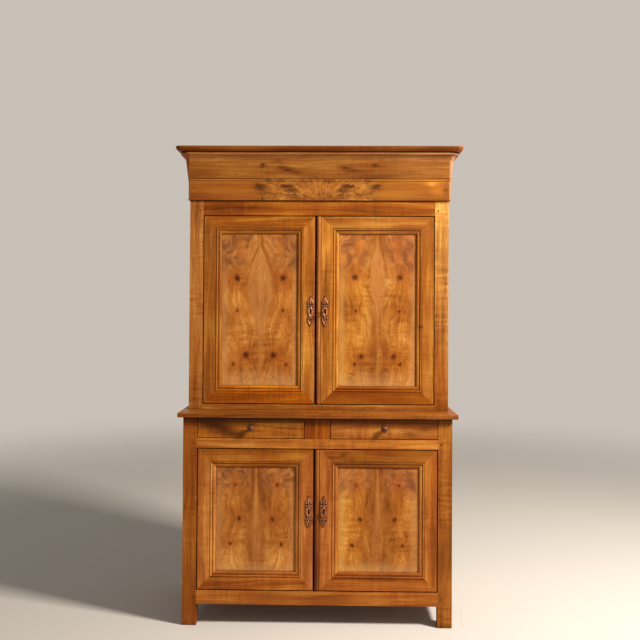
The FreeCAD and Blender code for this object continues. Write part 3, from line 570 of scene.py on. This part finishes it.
# The rounding of sharp edges: lengths in metres, angles in degrees
weld_reach = 0.00001
arris_width = 0.0008
arris_angle = 38
rim_width = 0.0005
split_angle = 50


def rounded(piece, name, width, angle):
    """Rounds a piece's edges that are sharper than the angle."""
    bevel = piece.modifiers.new(name, "BEVEL")
    bevel.width = width
    bevel.segments = 2
    bevel.limit_method = "ANGLE"
    bevel.angle_limit = math.radians(angle)


def soften():
    """Rounds the sharp edges of the frame's pieces a little, as planing, wax and wear do."""
    for piece in nodes.values():
        weld = piece.modifiers.new("weld", "WELD")
        weld.merge_threshold = weld_reach
        rounded(piece, "arris", arris_width, arris_angle)
        corners = piece.modifiers.new("corners", "EDGE_SPLIT")
        corners.split_angle = math.radians(split_angle)
        piece.modifiers.new("normals", "WEIGHTED_NORMAL")


# Painted shadow: the dark band under the counter board's overhang, and a deeper painted shadow across the top
# of the left drawer
painted_shadow_under_counter = [("Z", 0.944, 0.957, (0.62, 0.55, 0.38)), ("Z", 0.966, 0.975, (0.16, 0.09, 0.05))]
left_drawer_painted_shadow = [("Z", 0.95, 0.958, (0.45, 0.36, 0.2))]

# Dark spots in the wood: place in X and Z, size in X and Z, strength
rail_marks = [(-0.485, 1.012, 0.045, 0.003, 0.7), (0.245, 1.014, 0.045, 0.004, 0.6)]
left_drawer_marks = [(-0.525, 0.955, 0.046, 0.024, 0.8), (-0.48, 0.938, 0.055, 0.024, 0.95),
                     (-0.44, 0.922, 0.05, 0.024, 0.95), (-0.4, 0.9, 0.055, 0.017, 0.85)]
right_drawer_marks = [(0.44, 0.905, 0.04, 0.016, 0.6), (0.5, 0.93, 0.035, 0.016, 0.5)]

# The case's show wood. Each piece has its finish's name, the way its grain runs, its tone, its seed, its
# curl, its marks and its washes.
case_woods = {
    "upper_post_front_left": ("wood_upper_left_post", "Z", (1.05, 1.29, 1.6), 1, 0.45, (),
                              [("Z", 1.75, 1.2, (0.82, 0.69, 0.53))]),
    # The right post's washes: painted light towards its top and painted shade lower down, where the lamp's
    # light falls off
    "upper_post_front_right": ("wood_upper_right_post", "Z", (1.08, 1.46, 1.65), 2, 0.42, (),
                               [("Z", 1.45, 1.85, (1.22, 1.4, 1.5)), ("Z", 1.55, 1.15, (0.67, 0.47, 0.26))]),
    "lower_post_front_left": ("wood_lower_left_post", "Z", (0.69, 0.6, 0.29), 3, 0.3, (), painted_shadow_under_counter),
    "lower_post_front_right": ("wood_lower_right_post", "Z", (0.82, 0.87, 0.6), 4, 0.5, (), painted_shadow_under_counter),
    "upper_top_rail": ("wood_top_rail", "X", (0.71, 0.62, 0.3), 5, 0.25, (),
                       [("X", 0.1, 0.45, (1.15, 1.22, 1.2))]),
    "upper_bottom_rail": ("wood_upper_bottom_rail", "X", (0.97, 1.08, 0.92), 6, 0.3, rail_marks),
    "drawer_rail": ("wood_drawer_rail", "X", honey, 7, 0.3),
    "lower_bottom_rail": ("wood_lower_bottom_rail", "X", amber, 8, 0.3),
    "drawer_divider": ("wood_divider", "Z", (0.66, 0.5, 0.14), 9, 0.2, (), painted_shadow_under_counter),
    "counter_top": ("wood_counter", "X", (0.62, 0.61, 0.45), 10, 0.25),
    "upper_side_panels": ("wood_upper_side_panels", "Z", amber, 11, 0.5),
    "upper_side_rails": ("wood_upper_side_rails", "Y", amber, 12, 0.3),
    "lower_side_panels": ("wood_lower_side_panels", "Z", amber, 11, 0.5),
    "lower_side_rails": ("wood_lower_side_rails", "Y", amber, 12, 0.3),
    "rear_posts": ("wood_rear_posts", "Z", amber, 13, 0.3),
    "left_drawer_front": ("wood_left_drawer", "X", (1.12, 1.26, 0.76), 14, 0.4, left_drawer_marks,
                          painted_shadow_under_counter + left_drawer_painted_shadow),
    "right_drawer_front": ("wood_right_drawer", "X", (0.8, 0.77, 0.67), 15, 0.6, right_drawer_marks,
                           painted_shadow_under_counter),
    "joint_pegs": ("wood_pegs", "Y", (0.3, 0.22, 0.16), 16, 0.0),
}


def dress_case():
    for node, values in case_woods.items():
        dress(node, fruitwood(*values))


# Cornice and frieze: the marks and washes of the front length, and those of the ends and the roof board
cornice_marks = [(-0.276, 2.189, 0.014, 0.009, 1.0), (0.272, 2.189, 0.014, 0.009, 1.0),
                 (-0.18, 2.18, 0.03, 0.01, 0.8), (-0.15, 2.166, 0.034, 0.01, 0.9),
                 (-0.11, 2.154, 0.03, 0.008, 0.75), (0.13, 2.177, 0.03, 0.011, 0.8),
                 (0.16, 2.163, 0.034, 0.009, 0.7), (-0.2, 2.206, 0.03, 0.006, 0.6),
                 (0.05, 2.2, 0.03, 0.004, 0.3), (-0.276, 2.181, 0.03, 0.0025, 0.4),
                 (0.276, 2.181, 0.03, 0.0025, 0.4)]
# Painted light on the front length: lighter towards both ends, most at the right by the lamp, and much
# lighter at the top of the cove, which leans down away from the lamp
cornice_painted_light = [("X", -0.2, -0.45, (1.1, 1.12, 1.1)), ("X", 0.2, 0.45, (1.16, 1.32, 1.7)),
                  ("Z", 2.2, 2.24, (1.48, 1.66, 2.8))]
end_washes = [("X", 0.0, 0.1, (0.6, 0.66, 0.72))]
# Painted light and shade of the roof board's rounded front: lighter low down, darker at the top
roof_painted_light_and_shade = [("Z", 2.262, 2.254, (1.6, 1.55, 1.6)), ("Z", 2.268, 2.274, (0.72, 0.7, 0.6))]
# Which faces belong to the front length, the rear rail and the ends, by how far they lie from the case's
# front and back, in metres
front_reach = 0.02
rear_reach = 0.03
end_reach = 0.0005


def dress_cornice():
    """The front lengths, the side lengths, their rounded ends that show at the front, and the rear rail."""
    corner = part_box("upper_post_front_left")[0]
    half = -corner[0]
    front = corner[1]
    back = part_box("upper_back_boards")[1][1]

    def at_back(place):
        return place.y > back - rear_reach and abs(place.x) < half - rear_reach

    def pick(place):
        if abs(place.x) < half and place.y < front + front_reach:
            return 0
        if at_back(place):
            return 3
        return 2 if place.y < front - end_reach else 1

    def pick_roof(place):
        on_front = front - place.y > abs(place.x) - half
        return 0 if on_front or at_back(place) else 1

    ends = fruitwood("wood_cornice_ends", "Z", (1.25, 1.45, 3.0), 38, 0.1, (), end_washes)
    moulding = [fruitwood("wood_cornice_front", "X", (0.66, 0.71, 0.62), 37, 0.12, cornice_marks,
                          cornice_painted_light, 0.7),
                fruitwood("wood_cornice_sides", "Y", plain, 18, 0.3), ends,
                bare_wood("bare_cornice_back", "X", 8)]
    dress_by("cornice_moulding", moulding, pick)
    roof = [fruitwood("wood_roof_front", "X", (0.48, 0.43, 0.3), 19, 0.2, (), roof_painted_light_and_shade),
            fruitwood("wood_roof_sides", "Y", deep, 20, 0.2)]
    dress_by("cornice_roof_board", roof, pick_roof)
    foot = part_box("frieze")[0][2]
    frieze = [burl_frieze("burl_frieze", frieze_centre, foot),
              fruitwood("wood_frieze_sides", "Y", amber, 21, 0.3), ends]
    dress_by("frieze", frieze, pick)


# The tones of left stile, right stile, top rail and bottom rail of each door
door_tones = {
    "upper_left": ((0.77, 0.8, 0.58), (1.04, 1.17, 0.83), (0.83, 0.82, 0.4), (1.05, 0.92, 0.15)),
    "upper_right": ((1.3, 1.65, 1.35), (0.86, 0.94, 0.72), (0.79, 0.83, 0.64), (0.61, 0.48, 0.13)),
    "lower_left": (plain, plain, (0.84, 0.86, 0.5), reddish),
    "lower_right": (plain, amber, (0.57, 0.49, 0.22), reddish),
}
door_marks = {"upper_right": [(0.498, 1.407, 0.011, 0.009, 0.85), (0.03, 1.577, 0.01, 0.0015, 0.7),
                              (0.111, 1.93, 0.008, 0.003, 0.7)],
              "lower_right": [(0.123, 0.807, 0.014, 0.009, 0.7)]}
astragal_tones = {"upper": (0.88, 1.0, 1.2), "lower": (0.52, 0.46, 0.36)}
door_seed = 22


def dress_doors():
    for number, (door, tones) in enumerate(door_tones.items()):
        node = door + "_door_frame"
        marks = door_marks.get(door, ())
        finishes = []
        for place, (along, tone) in enumerate(zip("ZZXX", tones)):
            seed = door_seed + 4 * number + place
            finishes.append(fruitwood(f"wood_{door}_member_{place}", along, tone, seed, 0.22, marks))
        dress_by(node, finishes, door_member(node))
    for case, tone in astragal_tones.items():
        node = case + "_right_door_astragal"
        low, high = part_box(node)
        # Painted shade on the left half of each astragal, the side turned away from the lamp
        left_half_painted_shade = [("X", (low[0] + high[0]) / 2, low[0], (0.8, 0.75, 0.68))]
        dress(node, fruitwood(f"wood_{case}_astragal", "Z", tone, 40, 0.2, (), left_half_painted_shade, wear=0.5))


def dress_panels():
    upper_lens = [(0.0, 0.04), (0.35, 0.15), (0.47, 0.36), (0.56, 0.54), (0.66, 0.6), (0.78, 0.42),
                  (0.92, 0.0)]
    right_lens = [(0.0, 0.03), (0.42, 0.06), (0.5, 0.16), (0.65, 0.38), (0.8, 0.3), (0.9, 0.1), (1.0, 0.03)]
    lower_lens = [(0.0, 0.0), (0.1, 0.2), (0.3, 0.26), (0.55, 0.1), (0.9, 0.04), (1.0, 0.03)]
    left_knots = [(0.112, 1.64, 0.0145, 1.0), (0.111, 1.483, 0.008, 0.8), (0.067, 1.265, 0.015, 1.0),
                  (0.130, 1.221, 0.009, 0.8)]
    right_knots = [(0.110, 1.647, 0.0145, 0.9), (0.105, 1.482, 0.0075, 0.9), (0.079, 1.260, 0.0135, 0.9),
                   (0.111, 1.222, 0.008, 0.9)]
    lower_knots = [(0.1, 0.66, 0.008, 0.8), (0.08, 0.5, 0.011, 0.9), (0.12, 0.38, 0.009, 0.9)]
    left_streaks = [(-0.352, 1.159, 0.018, 0.9, 0.6), (-0.222, 1.162, 0.018, -0.6, 0.6)]
    right_streaks = [(0.158, 1.178, 0.026, -0.3, 0.5), (0.36, 1.36, 0.012, 0.3, 0.3)]
    cool = (0.94, 1.0, 1.1)
    warm = (1.03, 1.19, 1.08)
    shade = (0.84, 0.77, 0.88)
    left_flame = (0.75, (0.88, 0.85, 0.84), (0.92, 0.9, 0.95))
    right_flame = (0.7, (0.92, 0.86, 0.78), (0.72, 0.65, 0.68))
    panels = {"upper_left": (-0.286, left_knots, upper_lens, left_streaks, cool, plain, left_flame),
              "upper_right": (0.287, right_knots, right_lens, right_streaks, warm, shade, right_flame),
              "lower_left": (-0.288, lower_knots, lower_lens, (), cool, plain, right_flame),
              "lower_right": (0.285, lower_knots, lower_lens, (), warm, shade, right_flame)}
    for number, (door, (centre, knots, lens, streaks, *tones)) in enumerate(panels.items()):
        node = door + "_door_panel"
        low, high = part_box(node)
        finish = burl_panel(f"burl_{door}", centre, low[2], high[2], knots, lens, streaks, *tones, number + 1)
        dress(node, finish)


back_board_count = 6


def dress_inside():
    for case in ("upper", "lower"):
        low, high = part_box(case + "_back_boards")
        pitch = (high[0] - low[0]) / back_board_count
        dress(case + "_back_boards", bare_wood(f"bare_{case}_back", "Z", 1, pitch, low[0]))
        dress(case + "_floor_board", bare_wood(f"bare_{case}_floor", "X", 2))
    dress("upper_shelves", bare_wood("bare_upper_shelves", "X", 3))
    dress("lower_shelf", bare_wood("bare_lower_shelf", "X", 4))
    dress("shelf_cleats", bare_wood("bare_cleats", "Y", 5))
    dress("drawer_runners", bare_wood("bare_runners", "Y", 6))
    for side in ("left", "right"):
        dress(side + "_drawer_box", bare_wood(f"bare_{side}_drawer", "Y", 7))


# The keyhole, from the middle of its round part, in metres
keyhole_radius = 0.003
keyhole_half = 0.0016
keyhole_foot = -0.0117
keyhole_steps = 18
outline_steps = 5


def keyhole_outline():
    """A round hole over a narrow slot, in the plane of the door."""
    start = math.asin(keyhole_half / keyhole_radius)
    turns = [start + (2 * math.pi - 2 * start) * step / keyhole_steps for step in range(keyhole_steps + 1)]
    arc = [(-keyhole_radius * math.sin(turn), -keyhole_radius * math.cos(turn)) for turn in turns]
    return [(keyhole_half, keyhole_foot), *reversed(arc), (-keyhole_half, keyhole_foot)]


def smooth_loop(points):
    """A closed soft line through the points."""
    loop = []
    count = len(points)
    for number in range(count):
        a, b, c, d = (Vector(points[(number + shift) % count]) for shift in (-1, 0, 1, 2))
        for step in range(outline_steps):
            s = step / outline_steps
            loop.append(0.5 * ((2 * b) + (c - a) * s + (2 * a - 5 * b + 4 * c - d) * s ** 2
                               + (3 * b - a - 3 * c + d) * s ** 3))
    return loop


# The right half of the escutcheon's outline from tip to tip, in millimetres from the keyhole
leaf_outline = [(0.0, 74.0), (3.2, 63.0), (9.0, 52.0), (15.5, 43.0), (16.5, 37.0), (12.5, 34.0), (7.0, 35.0),
                (4.5, 31.0), (8.0, 28.5), (14.0, 29.5), (15.8, 25.0), (13.2, 19.0), (14.6, 8.0), (14.0, -6.0),
                (11.0, -18.0), (5.0, -28.0), (6.5, -32.5), (12.0, -29.5), (16.0, -32.5), (16.2, -39.0),
                (11.5, -50.0), (6.5, -61.0), (0.0, -75.0)]
# Raised scrolls on one half of it, each a line of points, and the round bosses inside their curls
scroll_lines = [[(0.0, 67.0), (5.0, 56.0), (11.5, 45.5), (14.0, 40.0), (11.0, 37.5), (9.0, 40.5)],
                [(1.0, 60.0), (1.0, 50.0), (2.0, 42.0), (1.5, 34.0)],
                [(2.5, 30.0), (6.5, 25.0), (12.0, 25.5), (12.8, 28.0), (10.0, 28.5)],
                [(12.5, 20.0), (13.0, 8.0), (12.3, -6.0), (9.0, -18.0), (2.5, -27.0)],
                [(0.0, 21.0), (4.5, 16.0), (7.3, 7.0), (7.6, -3.0), (6.5, -12.0), (3.5, -19.0), (0.0, -23.0)],
                [(2.5, -27.0), (4.0, -36.0), (10.5, -33.5), (13.2, -35.5), (11.0, -38.0)],
                [(1.0, -38.0), (1.5, -46.0), (1.0, -56.0)],
                [(13.0, -41.0), (9.0, -51.0), (4.0, -61.0), (0.0, -69.0)]]
boss_places = [(12.0, 38.8), (11.6, 27.2), (11.8, -35.6)]
# The relief in metres, and which of the scrolls is the rim round the keyhole
plate_rise = 0.003
scroll_radius = 0.0016
rim_line = 4
rim_radius = 0.0024
boss_radius = 0.0026
boss_flatness = 0.8
boss_sides = 12
boss_rings = 8
scroll_steps = 6
scroll_end_share = 0.6
scroll_middle_share = 1.1
mm = 0.001


def line_tube(points, radius):
    """A bent round bar with tapering ends, as a mesh."""
    curve = bpy.data.curves.new("scroll", "CURVE")
    curve.dimensions = "3D"
    curve.bevel_depth = radius
    curve.bevel_resolution = 2
    curve.use_fill_caps = True
    spline = curve.splines.new("NURBS")
    last = len(points) - 1
    spline.points.add(last)
    for number, (point, place) in enumerate(zip(spline.points, points)):
        point.co = (*place, 1.0)
        point.radius = scroll_end_share if number in (0, last) else scroll_middle_share
    spline.order_u = 3
    spline.use_endpoint_u = True
    spline.resolution_u = scroll_steps
    holder = bpy.data.objects.new("scroll", curve)
    mesh = bpy.data.meshes.new_from_object(holder)
    bpy.data.objects.remove(holder)
    return mesh


def add_boss(shape, x, y, z):
    """Adds a ball, a little flattened towards the plate, in an order that is the same every time."""
    rings = []
    for ring in range(1, boss_rings):
        tilt = math.pi * ring / boss_rings
        reach = boss_radius * math.sin(tilt)
        turns = [2 * math.pi * number / boss_sides for number in range(boss_sides)]
        rings.append([shape.verts.new((x + reach * math.cos(turn), y + boss_flatness * reach * math.sin(turn),
                                       z + boss_radius * math.cos(tilt))) for turn in turns])
    top, foot = (shape.verts.new((x, y, z + side * boss_radius)) for side in (1, -1))
    for number in range(boss_sides):
        after = (number + 1) % boss_sides
        shape.faces.new((top, rings[0][number], rings[0][after]))
        for over, under in zip(rings, rings[1:]):
            shape.faces.new((over[number], under[number], under[after], over[after]))
        shape.faces.new((foot, rings[-1][after], rings[-1][number]))


def escutcheon(node, patina_and_shadow, raised):
    """A cast plate of two leaves and a shield, with raised scrolls and a rim round the keyhole.
    Its ground is dark with old wax and with painted shadow in place of openwork between the scrolls, and its
    scrolls are rubbed bright."""
    low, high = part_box(node)
    x = (low[0] + high[0]) / 2
    z = (low[2] + high[2]) / 2
    back = high[1]
    right = [(u * mm, w * mm) for u, w in leaf_outline]
    left = [(-u, w) for u, w in reversed(right[1:-1])]
    outer = smooth_loop(right + left)
    hole = [Vector(point) for point in keyhole_outline()]
    loops = [[point.to_3d() for point in line] for line in (outer, hole)]
    shape = bmesh.new()
    face = back - plate_rise
    rear, front = ([shape.verts.new((x + point.x, y, z + point.y)) for point in outer + hole]
                   for y in (back, face))
    for corners in tessellate_polygon(loops):
        for side in (rear, front):
            shape.faces.new([side[number] for number in corners])
    start = 0
    for line in loops:
        places = [start + number for number in range(len(line))]
        for a, b in zip(places, places[1:] + places[:1]):
            shape.faces.new((front[a], front[b], rear[b], rear[a]))
        start += len(line)
    ground = len(shape.faces)
    for number, line in enumerate(scroll_lines):
        radius = rim_radius if number == rim_line else scroll_radius
        for side in (-1, 1):
            tube = line_tube([(x + side * u * mm, face, z + w * mm) for u, w in line], radius)
            shape.from_mesh(tube)
            bpy.data.meshes.remove(tube)
    for side in (-1, 1):
        for u, w in boss_places:
            add_boss(shape, x + side * u * mm, face, z + w * mm)
    bmesh.ops.recalc_face_normals(shape, faces=shape.faces)
    for number, part in enumerate(shape.faces):
        part.smooth = True
        part.material_index = int(number >= ground)
    mesh = bpy.data.meshes.new(node + "_relief")
    shape.to_mesh(mesh)
    shape.free()
    mesh.materials.append(patina_and_shadow)
    mesh.materials.append(raised)
    piece = bpy.data.objects.new(node + "_relief", mesh)
    bpy.context.scene.collection.objects.link(piece)
    rounded(piece, "rim", rim_width, split_angle)
    piece.modifiers.new("normals", "WEIGHTED_NORMAL")
    case, side = node.split("_")[:2]
    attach(piece, f"{case}_{side}_door")
    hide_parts(node)


def dress_metal():
    iron = metal("old_iron", iron_shades, 0.5, 0.5, 0)
    brass = metal("aged_brass", brass_shades, 0.38, 0.5, 2)
    ground = metal("brass_patina_and_shadow", patina_and_shadow_shades, 0.65, 0.15, 3)
    knobs = turned_wood("turned_knobs")
    iron_pieces = ("_ironwork", "_pivots", "_lock_case", "_lock_bolt", "_key", "_latch", "pivot_sockets")
    for node in nodes:
        if "escutcheon" in node:
            escutcheon(node, ground, brass)
        elif node.endswith(iron_pieces):
            dress(node, iron)
        elif node.endswith("_drawer_knob"):
            dress(node, knobs)


# Camera, light and floor

def set_camera():
    data = bpy.data.cameras.new("view_camera")
    data.lens = camera_lens
    data.sensor_width = sensor_width
    data.sensor_fit = "HORIZONTAL"
    data.shift_y = camera_shift_y
    camera = bpy.data.objects.new("view_camera", data)
    bpy.context.scene.collection.objects.link(camera)
    turn = Matrix.Rotation(math.radians(camera_turn), 4, "Z")
    tilt = Matrix.Rotation(math.radians(90.0 + camera_tilt), 4, "X")
    roll = Matrix.Rotation(math.radians(camera_roll), 4, "Z")
    camera.matrix_world = Matrix.Translation(camera_place) @ turn @ tilt @ roll
    bpy.context.scene.camera = camera


def shown_rays(tree):
    """One for the rays that see the backdrop itself: the camera's, and those through gloss or glass."""
    path = tree.nodes.new("ShaderNodeLightPath").outputs
    seen = path["Is Camera Ray"]
    for name in ("Is Glossy Ray", "Is Transmission Ray"):
        most = tree.nodes.new("ShaderNodeMath")
        most.operation = "MAXIMUM"
        tree.links.new(seen, most.inputs[0])
        tree.links.new(path[name], most.inputs[1])
        seen = most.outputs[0]
    return seen


def set_light():
    """A plain even sky and one soft lamp from the upper right."""
    world = bpy.data.worlds.new("studio")
    bpy.context.scene.world = world
    world.use_nodes = True
    tree = world.node_tree
    tree.nodes.clear()
    output = tree.nodes.new("ShaderNodeOutputWorld")
    sky = tree.nodes.new("ShaderNodeBackground")
    sky.inputs[0].default_value = (*sky_colour, 1.0)
    sky.inputs[1].default_value = sky_strength
    shown = tree.nodes.new("ShaderNodeBackground")
    shown.inputs[0].default_value = (*backdrop, 1.0)
    choose = tree.nodes.new("ShaderNodeMixShader")
    tree.links.new(shown_rays(tree), choose.inputs[0])
    tree.links.new(sky.outputs[0], choose.inputs[1])
    tree.links.new(shown.outputs[0], choose.inputs[2])
    tree.links.new(choose.outputs[0], output.inputs[0])
    data = bpy.data.lights.new("key", "AREA")
    data.energy = key_power
    data.color = key_colour
    data.size = key_size
    lamp = bpy.data.objects.new("key", data)
    bpy.context.scene.collection.objects.link(lamp)
    lamp.location = key_place
    lamp.rotation_euler = (Vector(key_target) - lamp.location).to_track_quat("-Z", "Y").to_euler()


def set_floor():
    """A pale floor that keeps the shadow and melts into the backdrop far away."""
    t = Finish("floor")
    x, y, _ = t.split(t.coords)
    reach = t.math("SQRT", t.math("MULTIPLY_ADD", x, x, t.math("MULTIPLY", y, y)))
    fade = t.remap(reach, *floor_fade)
    far = t.add("ShaderNodeEmission")
    far.inputs[0].default_value = (*backdrop, 1.0)
    t.feed(t.shader.inputs["Base Color"], (*floor_colour, 1.0))
    t.shader.inputs["Roughness"].default_value = floor_roughness
    t.shader.inputs["Specular IOR Level"].default_value = floor_gloss
    choose = t.add("ShaderNodeMixShader")
    t.feed(choose.inputs[0], t.math("MULTIPLY", fade, shown_rays(t.tree)))
    t.tree.links.new(t.shader.outputs[0], choose.inputs[1])
    t.tree.links.new(far.outputs[0], choose.inputs[2])
    t.tree.links.new(choose.outputs[0], t.output.inputs[0])
    mesh = bpy.data.meshes.new("floor")
    s = floor_half
    mesh.from_pydata([(-s, -s, 0), (s, -s, 0), (s, s, 0), (-s, s, 0)], [], [(0, 1, 2, 3)])
    plane = bpy.data.objects.new("floor", mesh)
    mesh.materials.append(t.material)
    bpy.context.scene.collection.objects.link(plane)


dress_case()
dress_cornice()
dress_doors()
dress_panels()
dress_inside()
dress_metal()
soften()
set_camera()
set_light()
set_floor()
bpy.context.scene.view_settings.view_transform = "Standard"
